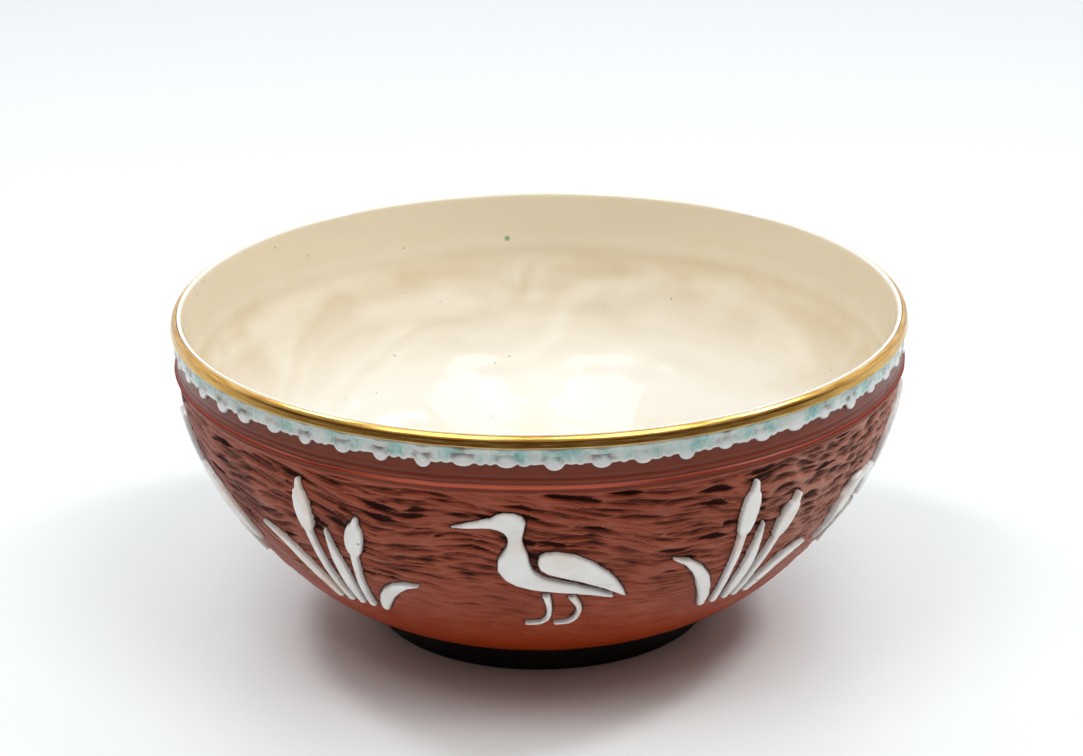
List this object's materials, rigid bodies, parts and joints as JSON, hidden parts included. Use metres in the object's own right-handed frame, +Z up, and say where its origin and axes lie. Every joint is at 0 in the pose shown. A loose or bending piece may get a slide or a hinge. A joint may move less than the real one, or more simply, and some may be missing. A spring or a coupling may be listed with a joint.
{
  "type": "bowl",
  "caption": "Deep round footed bowl of carved red clay, lined in cream glaze, with a dripped glaze collar, gilded lip and raised white frieze; holds fruit or serves as an ornament.",
  "frame": {"origin": "centre of the foot's resting plane", "axes": "+Z up along the bowl's axis, -Y towards the pictured front, +X to the right of it"},
  "size_m": [0.27, 0.27, 0.1202],
  "materials": {
    "carved_red_clay": "satin",
    "dark_slip": "satin",
    "cream_glaze": "gloss",
    "mottled_glaze": "gloss",
    "gilding": "gloss",
    "white_relief": "satin"
  },
  "bodies": {
    "root": {"body_wall": "carved_red_clay", "foot_ring": "dark_slip", "inside_glaze": "cream_glaze", "collar_glaze": "mottled_glaze", "rim_gilding": "gilding", "heron_1_body": "white_relief", "heron_1_wing": "white_relief", "heron_1_front_leg": "white_relief", "heron_1_rear_leg": "white_relief", "heron_2_body": "white_relief", "heron_2_wing": "white_relief", "heron_2_front_leg": "white_relief", "heron_2_rear_leg": "white_relief", "heron_3_body": "white_relief", "heron_3_wing": "white_relief", "heron_3_front_leg": "white_relief", "heron_3_rear_leg": "white_relief", "heron_4_body": "white_relief", "heron_4_wing": "white_relief", "heron_4_front_leg": "white_relief", "heron_4_rear_leg": "white_relief", "heron_5_body": "white_relief", "heron_5_wing": "white_relief", "heron_5_front_leg": "white_relief", "heron_5_rear_leg": "white_relief", "bulrush_1_tall_stalk": "white_relief", "bulrush_1_short_stalk": "white_relief", "bulrush_1_left_blade": "white_relief", "bulrush_1_middle_blade": "white_relief", "bulrush_1_right_blade": "white_relief", "bulrush_2_tall_stalk": "white_relief", "bulrush_2_short_stalk": "white_relief", "bulrush_2_left_blade": "white_relief", "bulrush_2_middle_blade": "white_relief", "bulrush_2_right_blade": "white_relief", "bulrush_3_tall_stalk": "white_relief", "bulrush_3_short_stalk": "white_relief", "bulrush_3_left_blade": "white_relief", "bulrush_3_middle_blade": "white_relief", "bulrush_3_right_blade": "white_relief", "bulrush_4_tall_stalk": "white_relief", "bulrush_4_short_stalk": "white_relief", "bulrush_4_left_blade": "white_relief", "bulrush_4_middle_blade": "white_relief", "bulrush_4_right_blade": "white_relief", "bulrush_5_tall_stalk": "white_relief", "bulrush_5_short_stalk": "white_relief", "bulrush_5_left_blade": "white_relief", "bulrush_5_middle_blade": "white_relief", "bulrush_5_right_blade": "white_relief"}
  },
  "joints": []
}
